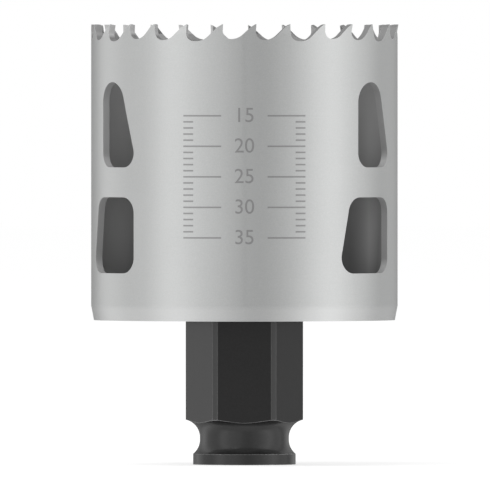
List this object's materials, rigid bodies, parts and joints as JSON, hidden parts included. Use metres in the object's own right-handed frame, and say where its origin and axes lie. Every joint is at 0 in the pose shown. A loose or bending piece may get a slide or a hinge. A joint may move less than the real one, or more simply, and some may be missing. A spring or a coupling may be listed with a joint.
{
  "type": "hole saw",
  "caption": "Cup-shaped hole saw with a toothed rim, slots for chips and for prying out the plug, and a hexagonal quick-change shank with a catch groove.",
  "frame": {"origin": "on the axis of the saw, in the end face of its shank, which it stands on", "axes": "+Z along the axis from the shank towards the teeth, -Y the side with the wide plain stretch between two slot sets, +X to the right of it"},
  "size_m": [0.0507, 0.0507, 0.0725],
  "materials": {
    "satin_steel": "satin, fine-ground light grey steel",
    "cap_steel": "turned steel, faint rings",
    "black_oxide_steel": "black oxide, satin"
  },
  "bodies": {
    "root": {"saw_shell": "satin_steel", "end_cap": "cap_steel", "quick_change_shank": "black_oxide_steel"}
  },
  "joints": []
}
